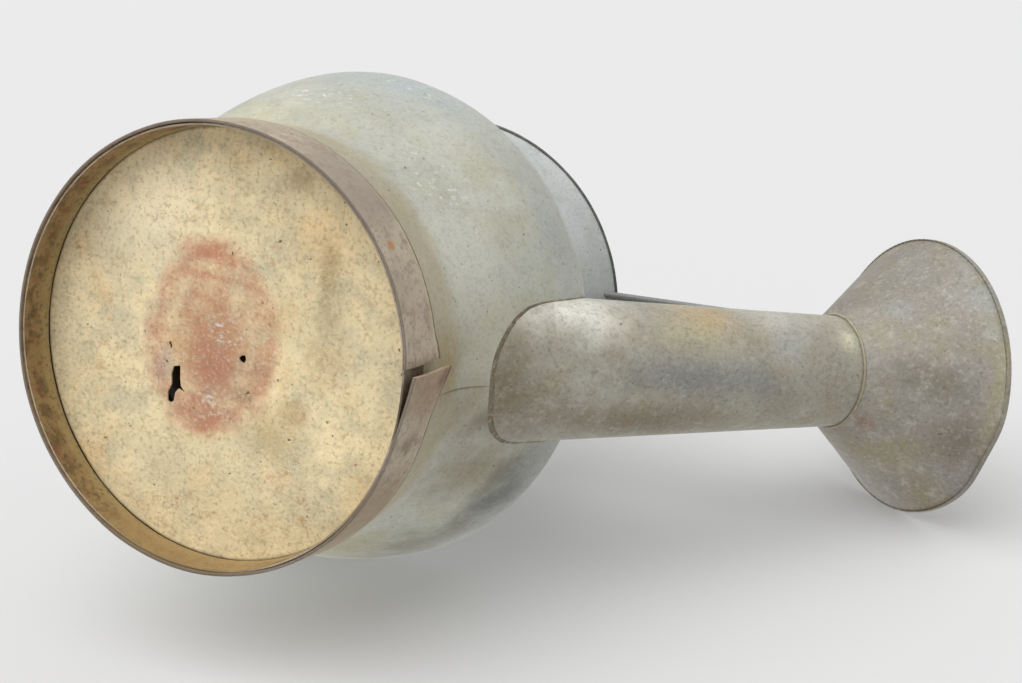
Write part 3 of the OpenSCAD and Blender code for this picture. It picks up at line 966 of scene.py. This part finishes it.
def make_camera():
    """Low camera that looks up at the foot of the can, rolled on its side."""
    right = Vector(VIEW_RIGHT).normalized()
    down = Vector(VIEW_DOWN).normalized()
    forward = right.cross(down)
    camera = bpy.data.objects.new("camera", bpy.data.cameras.new("camera"))
    camera.data.lens = 50
    camera.data.sensor_width = 36
    camera.data.clip_start = 0.01
    turn = Matrix((right, -down, -forward)).transposed().to_4x4()
    camera.matrix_world = Matrix.Translation(Vector(CAMERA_AT) * MM) @ turn
    bpy.context.scene.collection.objects.link(camera)
    bpy.context.scene.camera = camera


# ---------------------------------------------------------------- putting it together

bpy.context.scene.view_settings.view_transform = "Standard"
make_camera()
make_world()
make_stage()
for lamp_name, (direction, power, spread) in LAMPS.items():
    add_lamp(lamp_name, direction, power, spread)

# Spots: place and reach in millimetres, colour and strength
BODY_SPOTS = (
    ((85, -53, 60), (45, 45, 50), "#cfcdc0", 0.7),
    ((20, -122, 125), (80, 30, 40), "#b6bfbf", 0.8),
    ((107, -63, 128), (30, 40, 20), "#9da1a1", 0.5),
    ((-25, -100, 60), (60, 30, 40), "#cbc69e", 0.55),
    ((102, -20, 70), (30, 26, 40), "#b0ab94", 0.6),
    # Partly grime, partly painted shade of the side turned from the light: this spot and the nearly black one
    # after it
    ((100, 45, 85), (40, 34, 60), "#938b72", 0.85),
    ((103, 66, 116), (60, 46, 34), "#54554c", 0.9),
    ((47, 100, 60), (60, 30, 45), "#b3ae74", 0.7),
    # Partly grime, partly painted shade: darker olive on the side turned from the light
    ((66, 98, 104), (54, 44, 46), "#797661", 0.85),
    ((98, -10, 40), (14, 24, 24), "#a09068", 0.7),
    # Painted shade: the crease along the spout's side, below the seam
    ((103, 12, 60), (12, 24, 30), "#8d7f5c", 0.7),
    # Painted shadow: the foot of the body darkened in the gap behind the sprung end of the hoop
    ((99, 5, 16), (12, 24, 13), "#5a4732", 0.9),
    # Thin dark line under the lapped seam's edge: partly dirt in the joint, partly painted shadow
    ((102, 2.2, 50), (12, 1.0, 34), "#4b4030", 0.9),
    ((107, 20, 78), (12, 12, 26), "#6f6349", 0.6),
)
# Painted shade: grey along the belly's turn, where the wall turns away from the light; and the brown tide
# that damp left on the lower wall
BODY_BANDS = ((102, 124, "#a0a5a5", 0.3), (59, 42, "#a08b58", 0.5))
# White marks: place and reach in millimetres
LIME_MARKS = (
    ((-23.4, 39.7, 18), (5, 4, 4)), ((-41, -46, 18), (8, 10, 4)), ((-38, -26, 18), (7, 9, 4)),
    ((-3, 28, 18), (14, 12, 4)), ((-72, 6, 18), (5, 7, 4)), ((0, -6, 18), (16, 16, 4)),
    ((60, -5, 18), (8, 8, 4)),
)
BODY_SCUFFS = (
    ((50, -95, 74), (12, 12, 12)), ((62, -82, 66), (8, 8, 8)), ((26, -124, 128), (50, 16, 16)),
    ((75, -82, 75), (26, 26, 20)), ((-10, -112, 90), (40, 20, 20)),
)
SPOUT_SPOTS = (
    # Painted light: pale spots along the spout's top, where the light falls
    ((130, -33, 115), (44, 20, 44), "#efede2", 0.85),
    ((205, -38, 205), (34, 20, 34), "#c2c1b8", 0.7),
    ((178, -34, 168), (32, 16, 32), "#bd9c66", 0.6),
    ((175, -26, 158), (34, 14, 34), "#b8b18e", 0.6),
    ((186, -7, 150), (80, 15, 80), "#73767a", 0.6),
    ((165, 18, 135), (80, 18, 80), "#7d6f57", 0.75),
    ((215, -25, 196), (18, 16, 18), "#a9aaa7", 0.6),
    # Partly white crust, partly painted highlight: cream crescent near the rose
    ((238, -30, 226), (7, 14, 9), "#dcd6b8", 0.8),
    ((112, 0, 78), (16, 36, 24), "#7a6b52", 0.8),
    ((122, 8, 88), (28, 34, 28), "#847760", 0.6),
    ((140, 7.6, 102.5), (2.5, 2, 2.5), "#f0eadc", 0.9),
)
ROSE_SPOTS = (
    ((259, -48, 241), (14, 12, 14), "#98a09e", 0.4),
    ((300, -62, 245), (16, 16, 16), "#959d9c", 0.4),
    ((262, -62, 262), (40, 24, 34), "#85827a", 0.6),
    ((307, -48, 236), (12, 12, 12), "#9fa59c", 0.45),
    ((255, 12, 229), (9, 9, 9), "#8a5a44", 0.75),
    ((302, 10, 230), (26, 22, 26), "#6f6053", 0.6),
    ((268, 28, 238), (28, 22, 28), "#978d66", 0.55),
    ((292, 50, 250), (26, 18, 26), "#837853", 0.55),
    ((282, -16, 228), (40, 22, 40), "#716c60", 0.6),
    ((315, -20, 232), (8, 60, 12), "#9b9369", 0.6),
)
# Matt scaly iron, and a dry crust that hides the sheet under it
iron = rusted_hoop_iron()
crust = limed_bottom_sheet()
scuffed(crust, LIME_MARKS)
# The body's wall: pale chalky zinc, tan where soil lies, and nearly black low on the spout's side, partly
# grime and partly painted shade of the side turned from the light
body_zinc = zinc("body_zinc", "#c3c3b7", "#b2b3a8", "#b1ad90", BODY_SPOTS, bands=BODY_BANDS)
scuffed(body_zinc, BODY_SCUFFS)
# The collar's sheet: cleaner and cooler, close to new zinc
upper_zinc = zinc("upper_zinc", "#c4c7c6", "#b4b9b9", "#b3b5aa", seed=0.2, speckle=0.4)
# The shoulder's sheet: between the two, spotted
shoulder_zinc = zinc("shoulder_zinc", "#bcbfba", "#aaada8", "#a7a48f", seed=0.3, speckle=0.6)
# Handled zinc: duller and yellower from hands
handle_zinc = zinc("handle_zinc", "#b6b6ab", "#a3a399", "#a39d84", seed=0.6, speckle=0.7, hollow=False)
# The stay: zinc strip coloured dark lead-grey as painted shade, for the shadow it lies in
stay_zinc_in_painted_shade = zinc("stay_zinc_in_painted_shade", "#8e9192", "#7d8081", "#878272", seed=0.9, speckle=0.7, hollow=False)
# The spout: brown, darker underneath, and painted lighter along its top as painted light from above
spout_zinc = zinc("spout_zinc", "#adaa9c", "#999486", "#9d9376", SPOUT_SPOTS,
                  seed=0.5, speckle=0.8, hollow=False)
# The rose: the darkest sheet, blotched with olive and a little rust
rose_zinc = zinc("rose_zinc", "#98938a", "#837d74", "#908764", ROSE_SPOTS,
                 seed=0.8, speckle=0.9, hollow=False)
# Soft solder gone dull: dark around the spout, partly grime and partly painted shade of the crease at the
# spout's root; brighter under the rose
solder = zinc("grimy_solder_and_crease_shade", "#80755b", "#5b4e38", "#9b927a", seed=1.1, speckle=1.7, hollow=False)
rose_tin = zinc("tin_solder", "#a39c84", "#8a8068", "#c0bcaa", seed=1.3, speckle=0.8, hollow=False)
# The rim's wire: near-black, partly dark patina and partly painted shade of the rolled edge
wire = zinc("rim_patina_and_shade", "#565855", "#4b4c49", "#6d6a5e", seed=0.4, hollow=False)

finished(make_foot_band(), iron, "rusty_iron", "foot_hoop")
finished(make_bottom_plate(), crust, "crusted_bottom", "bottom")
finished(make_bottom_flange(), iron, "rusty_iron")
finished(make_lower_shell(), body_zinc, "body_zinc", "body")
finished(make_upper_shell(), shoulder_zinc, "upper_zinc", "shoulder")
collar_piece, rim_piece = make_flared_collar()
finished(collar_piece, upper_zinc, "upper_zinc", "collar")
finished(rim_piece, wire, "rusty_iron", "rim_wire")
finished(make_spout_tube(), spout_zinc, "spout_zinc", "spout")
finished(make_spout_solder(), solder, "spout_zinc")
finished(make_rose_shell(), rose_zinc, "rose_zinc", "rose_cone")
finished(make_rose_plate(), rose_zinc, "rose_zinc", "rose_face")
finished(make_rose_solder(), rose_tin, "rose_zinc")

for node_name, material in (
    ("hood", handle_zinc), ("stay", stay_zinc_in_painted_shade),
    ("handle", handle_zinc), ("handle_front_plate", handle_zinc), ("handle_back_plate", handle_zinc),
):
    nodes[node_name].data.materials.clear()
    nodes[node_name].data.materials.append(material)
